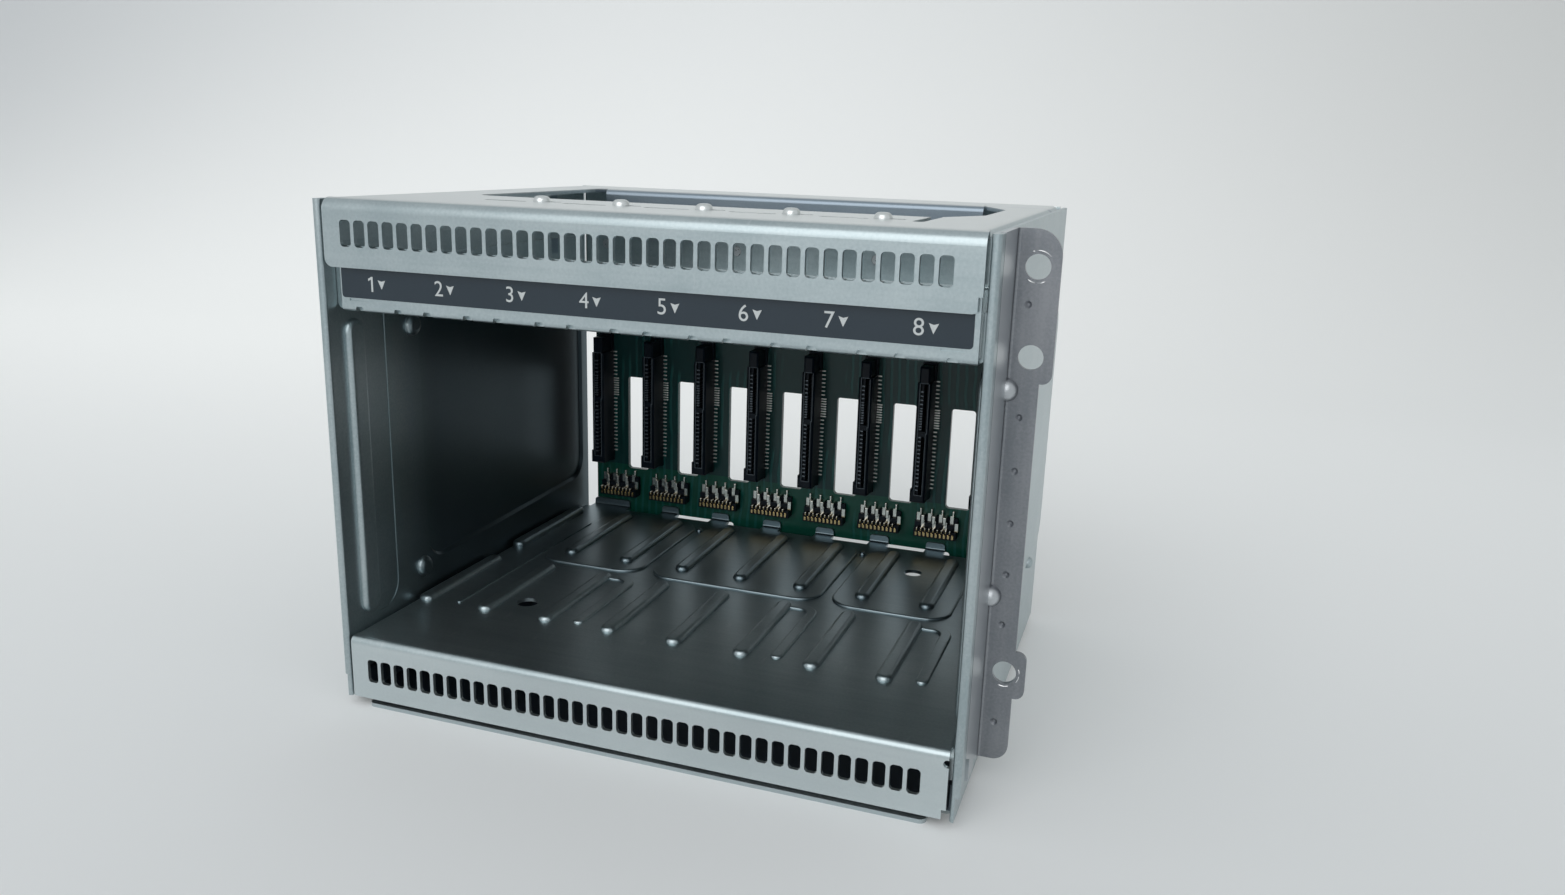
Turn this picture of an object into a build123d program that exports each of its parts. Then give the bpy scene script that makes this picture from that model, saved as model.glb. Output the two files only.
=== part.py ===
from build123d import *
import os

# A drive cage for eight upright small drives, folded from steel sheet, with its backplane board.
# Millimetres. +X is right, +Y runs from the open front to the board, +Z is up. The origin lies
# under the middle of the bottom pan, on the plane that the cage stands on.

# Whole cage
bay_count = 8
bay_pitch = 18.1
side_room = 4.4             # from the outermost bays to the outer faces of the side walls
cage_depth = 124.0
cage_height = 124.6         # from the underside of the pan to the top panel
sheet = 1.0                 # thickness of the folded sheets
fold = 1.6                  # outer radius of a fold
blend = 0.4                 # radius at the foot or rim of a small form
weld_gap = 0.1              # left between two sheets that are spot-welded face to face

# Vent flanges of the top panel and the bottom shelf
vent_pitch = 3.8
vent_width = 2.9
vent_height = 6.0
vent_corner = 0.9
vent_end_margin = 6.0       # least distance from the inner face of a wall to the last slot
vent_shift = -0.6           # the rows of slots sit a little left of the middle
vent_drop = 7.8             # from the fold down to the middle of the slots
vent_flange_height = 15.5
vent_flange_inset = 0.75    # from the inner face of a wall to the end of a flange
vent_step_width = 0.9       # the lower right corner of the top flange is stepped
vent_step_height = 3.2

# Top panel
top_fold = 2.8              # its front and side folds are rounder
top_rear_flange = 8.0
top_flange_room = 5.6       # from the deck's side flange up to the top panel's
opening_front = 37.5        # from the front face to the opening in the top
opening_rear_rim = 22.0     # from the opening to the rear of the cage
opening_left_rim = 16.3     # from the inner face of a wall to the opening
opening_right_rim = 10.3
opening_cut_x = 8.0         # the right corners of the opening are cut off
opening_cut_y = 17.0
opening_corner = 4.0
opening_flange_left = 2.9   # from the ends of the opening to the ends of its flange
opening_flange_right = 8.6
opening_flange_drop = 9.0
relief = 2.9                # flat left between a fold and the corner of its sheet
dome_count = 5
dome_pitch = 20.4
dome_radius = 2.0
dome_height = 1.3
dome_shift = 8.2            # middle dome, right of the middle of the cage
dome_setback = 24.0         # from the front face
slit_width = 2.4
slit_setback = 21.0
slit_length = 10.8
slit_shift = -7.8           # from a dome to the slit left of it
dash_length = 7.2
dash_shift = 1.4            # from a dome to the short slit under it
side_slit_x = 57.5
side_slit_start = 18.5
side_slit_length = 21.5
side_slit_width = 2.4

# Bottom shelf
shelf_level = 18.0          # upper face above the ground
shelf_rear_gap = 4.4        # from the shelf's rear edge to the rear of the cage
shelf_flange_clearance = 3.0    # from the pan's side flange up to the shelf's
shelf_flange_lift = 2.1     # from the ground to the lower vent flange
rib_width = 4.2
rib_rise = 1.2
rib_shift = -9.7            # from the middle of a bay
front_rib_start = 26.6      # setbacks from the front face
front_rib_length = 36.4
rear_rib_start = 73.0
rear_rib_margin = 6.6       # from the end of a rear rib to the shelf's rear edge
field_rise = 0.6
field_start = 66.5
field_margin = 4.6          # from a field to the shelf's rear edge
field_corner = 7.0
field_valley = 2.8          # flat left between two fields
form_shift = 8.75           # from the middle of a rib to the valley or bead right of it
bead_ribs = (2, 5, 7)       # the ribs, counted from 0, that have a valley and a bead to their right
bead_width = 3.0
bead_rise = 0.6
bead_start = 28.7
bead_turn = 4.0
line_width = 1.2
line_rise = 0.35
line_start = 29.0
line_margin = 17.0          # from its rear end to the shelf's rear edge
hole_left_shift = 7.95      # from the middle of rib 1
hole_left_setback = 36.4
hole_left_radius = 2.95
hole_right_shift = 8.9      # from the middle of rib 6
hole_right_margin = 20.8    # from the shelf's rear edge
hole_right_radius = 2.65
pip_radius = 1.0
pip_rise = 1.1
pip_margin = 10.2           # from the shelf's rear edge
tab_width = 6.0
tab_shift = 0.7             # from the middle of a bay
tab_rise = 2.2
tab_corner = 1.0
wide_tab_width = 13.0       # the tab at the far left
wide_tab_shift = -2.85
flange_notch = 2.2          # corner cut of the lower vent flange
corner_hole_radius = 0.9
corner_hole_inset = 0.3     # from the end of the flange
corner_hole_drop = 2.9      # below the shelf

# Upper guide deck
deck_drop = 25.6            # from the top panel to the underside of the deck
deck_side_flange = 10.0
deck_rear_flange = 13.0
deck_rear_inset = 0.7       # from the inner face of a wall to the end of the rear flange
strip_setback = 1.45        # front face of the strip behind the front of the cage
strip_height = 15.0
strip_fold = 1.1            # the strip is folded sharply
strip_left_inset = 3.6      # from the inner faces of the walls to the ends of the strip
strip_right_inset = 1.1
notch_width = 1.5
notch_slope = 0.6
notch_height = 1.2
notch_shifts = (-4.1, 6.3)  # from the middle of a bay
mark_length = 4.8           # shallow marks under the ends of the label
mark_width = 0.5
mark_depth = 0.3
mark_left_inset = 8.2       # from the inner faces of the walls to their middles
mark_right_inset = 6.05
mark_lift = 2.75

# Label on the strip
label_thickness = 0.15
label_left_margin = 0.4     # from the ends of the strip
label_right_margin = 1.1
label_lift = 3.2            # from the underside of the deck
label_height = 8.0
label_corner = 0.8

# Side walls
wall_lift = 1.8             # from the ground
wall_drop = 0.4             # below the top panel
hem_depth = 4.0
hem_lift = 7.5
hem_round = 0.9             # the folded front edge is nearly a half round
press_depth = 1.5           # height of the bead
wall_bead_middle = 8.95     # setbacks from the front face
wall_bead_width = 6.2
wall_bead_foot = 3.2        # above the shelf
wall_bead_head = 3.0        # below the deck
bump_setback = 31.2
bump_radius = 2.75
bump_depth = 1.8
bump_foot = 8.0             # above the shelf
bump_head = 7.5             # below the deck
panel_start = 34.0
panel_rear_rim = 3.6        # from the pressed panel to the rear edge of the wall
panel_foot = 8.0            # above the shelf
panel_foot_rise = 2.5       # the lower edge climbs to the rear
panel_head = 1.0            # below the deck
panel_corner = 7.0
panel_depth = 0.8
joggle_setback = 20.2
joggle_foot = 2.4           # above the shelf
joggle_start = 11.2
joggle_turn = 6.0
joggle_width = 0.8
joggle_depth = 0.15
lance_rear_rim = 26.6       # from a small dome on the right wall to the rear of the cage
lance_lift = 9.2            # above the shelf
lance_radius = 1.7
lance_height = 1.9

# Bottom pan
pan_side_flange = 7.0
pan_nose_inset = 5.0        # the front edge is narrower than the pan
pan_nose = 6.0
pan_corner = 1.5

# Mounting ear
ear_setback = 21.4          # front face of the ear behind the front of the cage
ear_gap = 0.5               # between the hem and the leg of the ear
ear_lift = 6.7
ear_drop = 0.3              # below the top panel
ear_reach = 9.0             # at the two places that reach furthest out
ear_waist = 6.5
ear_head = 31.5             # height of the wider upper part
ear_tab_foot = 15.3         # above the foot of the ear
ear_tab_height = 11.0
ear_tab_corner = 2.0
ear_corner = 3.5            # at the foot
ear_head_corner = 5.5
ear_hole_radius = 2.6
ear_hole_reach = 4.4
ear_hole_foot = 21.2        # lowest hole above the foot of the ear
ear_hole_head = 7.6         # highest hole below the top of the ear
ear_hole_pitch = 18.5       # between the two upper holes
ear_pip_radius = 0.8
ear_pip_depth = 0.5
ear_pip_reach = 3.0
ear_pip_foot = 9.0          # lowest pip above the foot of the ear
ear_pip_row = 32.3          # first pip of the row above the foot of the ear
ear_pip_pitch = 11.6
ear_pip_head = 15.3         # highest pip below the top of the ear
dart_radius = 2.5           # the two stiffening darts in the bend
dart_foot = 38.7            # above the foot of the ear
dart_head = 1.7             # below the wider upper part
leg_cut = 8.0               # the foot of the leg is cut on a slope
leg_tab_start = 5.0         # from the front of the leg
leg_tab_width = 6.0

# Backplane board
board_gap = 0.1             # from the tabs and the rear flange to the board
board_thickness = 1.6
board_foot = 2.3            # below the shelf
board_head = 11.5           # above the deck
board_inset = 3.5           # from the inner face of a wall
board_corner = 0.8
board_cut_rise = 1.65       # two long cuts in the lower edge
board_cut_bays = ((1, 2), (4, 6))   # from bay to bay, counted from 0
board_cut_start = -2.5      # from the middle of the first bay of a cut
board_cut_end = 5.0         # from the middle of its last bay
window_shift = 6.5          # middle of a window from the middle of a bay
window_width = 7.4
window_foot = 13.7          # above the shelf
window_height = 31.4
window_corner = 1.0
screw_count = 4
screw_margin = 4.8          # from the ends of the board to the outer screws
screw_lift = 7.5            # above the deck
screw_radius = 1.45
screw_fit = 0.1
screw_head_radius = 2.7
screw_head_height = 1.9
screw_recess = 1.2

# Drive connectors
housing_width = 4.2
housing_depth = 8.0
housing_foot = 16.6         # above the shelf
housing_height = 42.0
housing_shift = -4.45
housing_neck = 5.0          # the narrower end at the top
housing_neck_width = 3.2
housing_toe = 4.0           # the wider end at the bottom
housing_toe_width = 4.7
housing_base_depth = 1.6    # the flange that sits on the board
housing_base_margin = 0.5
housing_edge = 0.5
mouth_width = 2.2
mouth_lift = 2.5            # above the foot of the housing
mouth_height = 34.5
mouth_depth = 6.0
tongue_width = 0.9
tongue_depth = 5.0
key_lift = 21.6             # the web between the two parts of the mouth
key_height = 1.6
tail_reach = 1.1
fine_tail_reach = 1.7
tail_width = 0.45
tail_height = 0.35
tail_lift = 3.0
coarse_pitch = 1.27
coarse_low_count = 15
fine_pitch = 0.8
fine_count = 8
coarse_high_count = 7

# Contact blocks under the connectors
block_width = 13.2
block_shift = 0.6
block_foot = 4.6            # above the shelf
block_height = 6.4
block_step = 1.3            # each row of fingers stands this much further forward
block_rows = 3
block_row_rise = 1.9
finger_width = 1.0
finger_height = 2.6
finger_depth = 0.5
finger_pitch = 3.5
finger_stagger = 1.75
finger_count = 4
finger_shift = 0.45
finger_rise = 0.5
pin_width = 0.6
pin_pitch = 1.27
pin_count = 10
pin_height = 1.1

# Parts on the rear of the board
data_connector_width = 26.0
data_connector_height = 9.0
data_connector_depth = 12.0
data_connector_places = (-44.0, 8.0)
connector_drop = 9.0       # below the deck
power_connector_width = 22.0
power_connector_height = 9.6
power_connector_depth = 12.8
power_connector_place = 48.0
power_cavity = 3.4
power_pitch = 4.2
power_columns = 5
header_width = 14.0
header_height = 6.0
header_depth = 7.0
header_place = -17.5
tongue_thickness = 1.6
shell_wall = 0.9
chip_size = 7.0
chip_height = 0.9
chip_drop = 18.0            # below the deck
chip_places = (-52.0, -16.0, 20.0, 56.0)
capacitor_width = 3.2
capacitor_height = 1.6
capacitor_rise = 1.5
capacitor_drop = 27.0       # below the deck

# Places worked out from the sizes above
cage_width = bay_count * bay_pitch + 2 * side_room
half_width = cage_width / 2
wall_inner = half_width - sheet
mid_fold = fold - sheet / 2
front = -cage_depth / 2
rear = cage_depth / 2
flange_half = wall_inner - weld_gap
flange_middle = flange_half - sheet / 2
vent_flange_half = wall_inner - vent_flange_inset
vent_count = int(2 * (wall_inner - vent_end_margin) / vent_pitch) + 1
top_middle = cage_height - sheet / 2
shelf_middle = shelf_level - sheet / 2
shelf_depth = cage_depth - shelf_rear_gap
shelf_rear = front + shelf_depth
deck_level = cage_height - deck_drop
deck_middle = deck_level + sheet / 2
carrier_rear = rear + weld_gap
board_front = carrier_rear + board_gap
board_rear = board_front + board_thickness
board_half = wall_inner - board_inset
board_bottom = shelf_level - board_foot
board_top = deck_level + board_head
strip_front = front + strip_setback
strip_left = strip_left_inset - wall_inner
strip_right = wall_inner - strip_right_inset
wall_bottom = wall_lift
wall_top = cage_height - wall_drop
leg_face = half_width + sheet
ear_front = front + ear_setback
ear_bottom = ear_lift
ear_top = cage_height - ear_drop
ear_shoulder = ear_top - ear_head
housing_bottom = shelf_level + housing_foot
housing_top = housing_bottom + housing_height
mouth_bottom = housing_bottom + mouth_lift
block_bottom = shelf_level + block_foot
connector_level = deck_level - connector_drop
bay_places = [(index - (bay_count - 1) / 2) * bay_pitch for index in range(bay_count)]
rib_places = [bay + rib_shift for bay in bay_places]


def edges_at(piece, **place):
    """The edges of a piece whose middle lies at the given X, Y or Z."""
    def lies_there(edge):
        middle = edge.center()
        return all(abs(getattr(middle, axis) - value) < 0.01 for axis, value in place.items())
    return piece.edges().filter_by(lies_there)


def write(piece, name):
    """Label a finished piece and write it to its own file."""
    piece.label = name
    export_step(piece, f"parts/{name}.step")


os.makedirs("parts", exist_ok=True)

# Top panel: flat top with flanges on all four sides, and a flange behind its opening
opening_left = opening_left_rim - wall_inner
opening_right = wall_inner - opening_right_rim
opening_back = rear - opening_rear_rim + relief
top_side_flange = cage_height - deck_level - deck_side_flange - top_flange_room
with BuildPart() as top_panel:
    with BuildSketch(Plane.XZ.offset(-front - relief)):
        with BuildLine():
            FilletPolyline(
                (-flange_middle, cage_height - top_side_flange),
                (-flange_middle, top_middle),
                (flange_middle, top_middle),
                (flange_middle, cage_height - top_side_flange),
                radius=top_fold - sheet / 2,
            )
        trace(line_width=sheet)
    extrude(amount=2 * relief - cage_depth)
    for edge_y, inward, drop, bend in (
        (front, 1, vent_flange_height, top_fold),
        (rear, -1, top_rear_flange, fold),
    ):
        with BuildSketch(Plane.YZ.offset(-vent_flange_half)):
            with BuildLine():
                FilletPolyline(
                    (edge_y + inward * sheet / 2, cage_height - drop),
                    (edge_y + inward * sheet / 2, top_middle),
                    (edge_y + inward * relief, top_middle),
                    radius=bend - sheet / 2,
                )
            trace(line_width=sheet)
        extrude(amount=2 * vent_flange_half)
    flange_foot = edges_at(top_panel, Y=front + sheet / 2, Z=cage_height - vent_flange_height)
    fillet(flange_foot.filter_by(Axis.Y), 2 * sheet)
    with BuildSketch(Plane.XY.offset(cage_height)):
        with BuildLine():
            Polyline(
                (opening_left, front + opening_front),
                (opening_right - opening_cut_x, front + opening_front),
                (opening_right, front + opening_front + opening_cut_y),
                (opening_right, opening_back - relief - opening_cut_y),
                (opening_right - opening_cut_x, opening_back - relief),
                (opening_right - opening_cut_x, opening_back),
                (opening_left, opening_back),
                close=True,
            )
        make_face()
        fillet(vertices().group_by(Axis.X)[0], opening_corner)
    extrude(amount=-sheet, mode=Mode.SUBTRACT)
    opening_flange_start = opening_left + opening_flange_left
    with BuildSketch(Plane.YZ.offset(opening_flange_start)):
        with BuildLine():
            FilletPolyline(
                (opening_back, top_middle),
                (opening_back - relief + sheet / 2, top_middle),
                (opening_back - relief + sheet / 2, cage_height - opening_flange_drop),
                radius=mid_fold,
            )
        trace(line_width=sheet)
    extrude(amount=opening_right - opening_flange_right - opening_flange_start)
    with BuildSketch(Plane.XY.offset(cage_height)):
        with Locations((dome_shift + slit_shift, front + slit_setback)):
            with GridLocations(dome_pitch, 1, dome_count, 1):
                SlotOverall(slit_length, slit_width)
        with Locations((dome_shift + dash_shift, front + dome_setback)):
            with GridLocations(dome_pitch, 1, dome_count, 1):
                SlotOverall(dash_length, slit_width)
        with Locations((side_slit_x, front + side_slit_start + side_slit_length / 2)):
            SlotOverall(side_slit_length, side_slit_width, rotation=90)
    extrude(amount=-sheet, mode=Mode.SUBTRACT)
    with BuildSketch(Plane.XY.offset(cage_height - sheet)):
        with Locations((dome_shift, front + dome_setback)):
            with GridLocations(dome_pitch, 1, dome_count, 1):
                Circle(dome_radius)
    extrude(amount=sheet + dome_height)
    fillet(edges_at(top_panel, Z=cage_height + dome_height), dome_height - blend / 4)
    with BuildSketch(Plane.XZ.offset(-front)):
        with Locations((vent_shift, cage_height - vent_drop)):
            with GridLocations(vent_pitch, 1, vent_count, 1):
                RectangleRounded(vent_width, vent_height, vent_corner)
        with Locations((vent_flange_half, cage_height - vent_flange_height)):
            Rectangle(2 * vent_step_width, 2 * vent_step_height)
    extrude(amount=-sheet, mode=Mode.SUBTRACT)
write(top_panel.part, "top_panel")

# Bottom shelf: the floor of the bays, the lower vent flange and the tabs for the board
rear_rib_length = shelf_depth - rear_rib_start - rear_rib_margin
field_length = shelf_depth - field_start - field_margin
field_edges = [rib_places[1] - form_shift] + [rib_places[rib] + form_shift for rib in bead_ribs]
field_spans = [
    (low + field_valley / 2, high - field_valley / 2)
    for low, high in zip(field_edges[:-1], field_edges[1:])
]
rib_rows = [
    (front + front_rib_start + front_rib_length / 2, front_rib_length, rib_rise),
    (front + rear_rib_start + rear_rib_length / 2, rear_rib_length, rib_rise + field_rise),
]
with BuildPart() as shelf_fields:
    with BuildSketch(Plane.XY.offset(shelf_middle)):
        for low, high in field_spans:
            with Locations(((low + high) / 2, front + field_start + field_length / 2)):
                RectangleRounded(high - low, field_length, field_corner)
    extrude(amount=field_rise + sheet / 2)
    fillet(edges_at(shelf_fields, Z=shelf_level + field_rise), field_rise - blend / 4)

with BuildPart() as shelf_beads:
    with BuildSketch(Plane.XY.offset(shelf_middle)):
        bead_end = front + front_rib_start + front_rib_length - bead_width / 2
        for rib in bead_ribs:
            bead_x = rib_places[rib] + form_shift
            with BuildLine():
                FilletPolyline(
                    (bead_x, front + bead_start + bead_width / 2),
                    (bead_x, bead_end),
                    (rib_places[rib], bead_end),
                    radius=bead_turn,
                )
            trace(line_width=bead_width)
            with Locations((bead_x, front + bead_start + bead_width / 2)):
                Circle(bead_width / 2)
    extrude(amount=bead_rise + sheet / 2)
    fillet(edges_at(shelf_beads, Z=shelf_level + bead_rise), bead_rise - blend / 4)

with BuildPart() as shelf_ribs:
    for rib_y, rib_length, rise in rib_rows:
        with BuildSketch(Plane.XY.offset(shelf_middle)):
            for rib_x in rib_places:
                with Locations((rib_x, rib_y)):
                    SlotOverall(rib_length, rib_width, rotation=90)
        extrude(amount=rise + sheet / 2)
        fillet(edges_at(shelf_ribs, Z=shelf_level + rise), rib_rise - blend / 4)

with BuildPart() as shelf_pips:
    with BuildSketch(Plane.XY.offset(shelf_middle)):
        for rib in bead_ribs[:-1]:
            with Locations((rib_places[rib] + form_shift, shelf_rear - pip_margin)):
                Circle(pip_radius)
    extrude(amount=pip_rise + sheet / 2)
    fillet(edges_at(shelf_pips, Z=shelf_level + pip_rise), pip_radius - blend / 2)

with BuildPart() as bottom_shelf:
    with BuildSketch(Plane.XZ.offset(-front - relief)):
        with BuildLine():
            FilletPolyline(
                (-flange_middle, pan_side_flange + shelf_flange_clearance),
                (-flange_middle, shelf_middle),
                (flange_middle, shelf_middle),
                (flange_middle, pan_side_flange + shelf_flange_clearance),
                radius=mid_fold,
            )
        trace(line_width=sheet)
    extrude(amount=relief - shelf_depth)
    with BuildSketch(Plane.YZ.offset(-vent_flange_half)):
        with BuildLine():
            FilletPolyline(
                (front + sheet / 2, shelf_flange_lift),
                (front + sheet / 2, shelf_middle),
                (front + relief, shelf_middle),
                radius=mid_fold,
            )
        trace(line_width=sheet)
    extrude(amount=2 * vent_flange_half)
    # Tabs: tongues that run back from the shelf and stand up in front of the board
    for index, bay in enumerate(bay_places):
        shift, width = (wide_tab_shift, wide_tab_width) if index == 0 else (tab_shift, tab_width)
        with BuildSketch(Plane.YZ.offset(bay + shift - width / 2)):
            with BuildLine():
                FilletPolyline(
                    (shelf_rear, shelf_middle),
                    (carrier_rear - sheet / 2, shelf_middle),
                    (carrier_rear - sheet / 2, shelf_level + tab_rise),
                    radius=mid_fold,
                )
            trace(line_width=sheet)
        extrude(amount=width)
    tab_tops = edges_at(bottom_shelf, Y=carrier_rear - sheet / 2, Z=shelf_level + tab_rise)
    fillet(tab_tops.filter_by(Axis.Y), tab_corner)
    # Fields, beads and ribs are pressed up from below, so the underside is hollow there
    add(shelf_fields.part)
    add(shelf_beads.part)
    with BuildSketch(Plane.XY.offset(shelf_level - sheet)):
        for low, high in field_spans:
            with Locations(((low + high) / 2, front + field_start + field_length / 2)):
                RectangleRounded(high - low - 2 * sheet, field_length - 2 * sheet, field_corner - sheet)
    extrude(amount=field_rise, mode=Mode.SUBTRACT)
    add(shelf_ribs.part)
    add(shelf_pips.part)
    for rib_y, rib_length, rise in rib_rows:
        with BuildSketch(Plane.XY.offset(shelf_level - sheet)):
            for rib_x in rib_places:
                with Locations((rib_x, rib_y)):
                    SlotOverall(rib_length - 2 * sheet, rib_width - 2 * sheet, rotation=90)
        extrude(amount=rise, mode=Mode.SUBTRACT)
    with BuildSketch(Plane.XY.offset(shelf_level)):
        line_length = shelf_depth - line_start - line_margin
        with Locations((rib_places[1] - form_shift, front + line_start + line_length / 2)):
            SlotOverall(line_length, line_width, rotation=90)
    extrude(amount=line_rise)
    # The two round holes
    with BuildSketch(Plane.XY.offset(shelf_level + field_rise)):
        with Locations((rib_places[1] + hole_left_shift, front + hole_left_setback)):
            Circle(hole_left_radius)
        with Locations((rib_places[6] + hole_right_shift, shelf_rear - hole_right_margin)):
            Circle(hole_right_radius)
    extrude(amount=-field_rise - sheet, mode=Mode.SUBTRACT)
    # Vent slots, the cut corner of the flange and the relief hole above it
    with BuildSketch(Plane.XZ.offset(-front)):
        with Locations((vent_shift, (shelf_level + shelf_flange_lift) / 2 - blend)):
            with GridLocations(vent_pitch, 1, vent_count, 1):
                RectangleRounded(vent_width, vent_height, vent_corner)
        with Locations((vent_flange_half, shelf_flange_lift)):
            Rectangle(2 * sheet, 2 * flange_notch)
        with Locations((vent_flange_half - corner_hole_inset, shelf_level - corner_hole_drop)):
            Circle(corner_hole_radius)
    extrude(amount=-sheet, mode=Mode.SUBTRACT)
write(bottom_shelf.part, "bottom_shelf")

# Upper guide deck: the ceiling of the bays, its front strip and the flange for the board's screws
screw_pitch = 2 * (board_half - screw_margin) / (screw_count - 1)
screw_places = [(index - (screw_count - 1) / 2) * screw_pitch for index in range(screw_count)]
screw_level = deck_level + screw_lift
with BuildPart() as deck_ribs:
    with BuildSketch(Plane.XY.offset(deck_middle)):
        for rib_x in rib_places:
            for rib_y, rib_length, rise in rib_rows:
                with Locations((rib_x, rib_y)):
                    SlotOverall(rib_length, rib_width, rotation=90)
    extrude(amount=-rib_rise - sheet / 2)
    chamfer(edges_at(deck_ribs, Z=deck_level - rib_rise), rib_rise - blend)

with BuildPart() as upper_guide_deck:
    with BuildSketch(Plane.XZ.offset(-strip_front - relief)):
        with BuildLine():
            FilletPolyline(
                (-flange_middle, deck_level + deck_side_flange),
                (-flange_middle, deck_middle),
                (flange_middle, deck_middle),
                (flange_middle, deck_level + deck_side_flange),
                radius=mid_fold,
            )
        trace(line_width=sheet)
    extrude(amount=strip_front + 2 * relief - carrier_rear)
    with BuildSketch(Plane.YZ.offset(strip_left)):
        with BuildLine():
            FilletPolyline(
                (strip_front + sheet / 2, deck_level + strip_height),
                (strip_front + sheet / 2, deck_middle),
                (strip_front + relief, deck_middle),
                radius=strip_fold - sheet / 2,
            )
        trace(line_width=sheet)
    extrude(amount=strip_right - strip_left)
    deck_rear_half = wall_inner - deck_rear_inset
    with BuildSketch(Plane.YZ.offset(-deck_rear_half)):
        with BuildLine():
            FilletPolyline(
                (carrier_rear - relief, deck_middle),
                (carrier_rear - sheet / 2, deck_middle),
                (carrier_rear - sheet / 2, deck_level + deck_rear_flange),
                radius=mid_fold,
            )
        trace(line_width=sheet)
    extrude(amount=2 * deck_rear_half)
    add(deck_ribs.part)
    with BuildSketch(Plane.XY.offset(deck_level + sheet)):
        for rib_x in rib_places:
            for rib_y, rib_length, rise in rib_rows:
                with Locations((rib_x, rib_y)):
                    SlotOverall(rib_length - 2 * sheet, rib_width - 2 * sheet, rotation=90)
    extrude(amount=-rib_rise, mode=Mode.SUBTRACT)
    # Notches in the lower edge of the strip
    with BuildSketch(Plane.XZ.offset(-strip_front)):
        for bay in bay_places:
            for shift in notch_shifts:
                left = bay + shift - notch_width / 2
                with BuildLine():
                    Polyline(
                        (left - notch_slope, deck_level),
                        (left, deck_level + notch_height),
                        (left + notch_width, deck_level + notch_height),
                        (left + notch_width + notch_slope, deck_level),
                        close=True,
                    )
                make_face()
    extrude(amount=-2 * sheet, mode=Mode.SUBTRACT)
    with BuildSketch(Plane.XZ.offset(-strip_front)):
        for mark_x in (mark_left_inset - wall_inner, wall_inner - mark_right_inset):
            with Locations((mark_x, deck_level + mark_lift)):
                Rectangle(mark_length, mark_width)
    extrude(amount=-mark_depth, mode=Mode.SUBTRACT)
    with BuildSketch(Plane.XZ.offset(-carrier_rear)):
        for screw_x in screw_places:
            with Locations((screw_x, screw_level)):
                Circle(screw_radius + screw_fit)
    extrude(amount=sheet, mode=Mode.SUBTRACT)
write(upper_guide_deck.part, "upper_guide_deck")

# Label with the bay numbers, stuck to the strip
label_left = strip_left + label_left_margin
label_right = strip_right - label_right_margin
with BuildPart() as bay_number_label:
    with BuildSketch(Plane.XZ.offset(-strip_front)):
        with Locations(((label_left + label_right) / 2, deck_level + label_lift + label_height / 2)):
            RectangleRounded(label_right - label_left, label_height, label_corner)
    extrude(amount=label_thickness)
write(bay_number_label.part, "bay_number_label")

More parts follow.
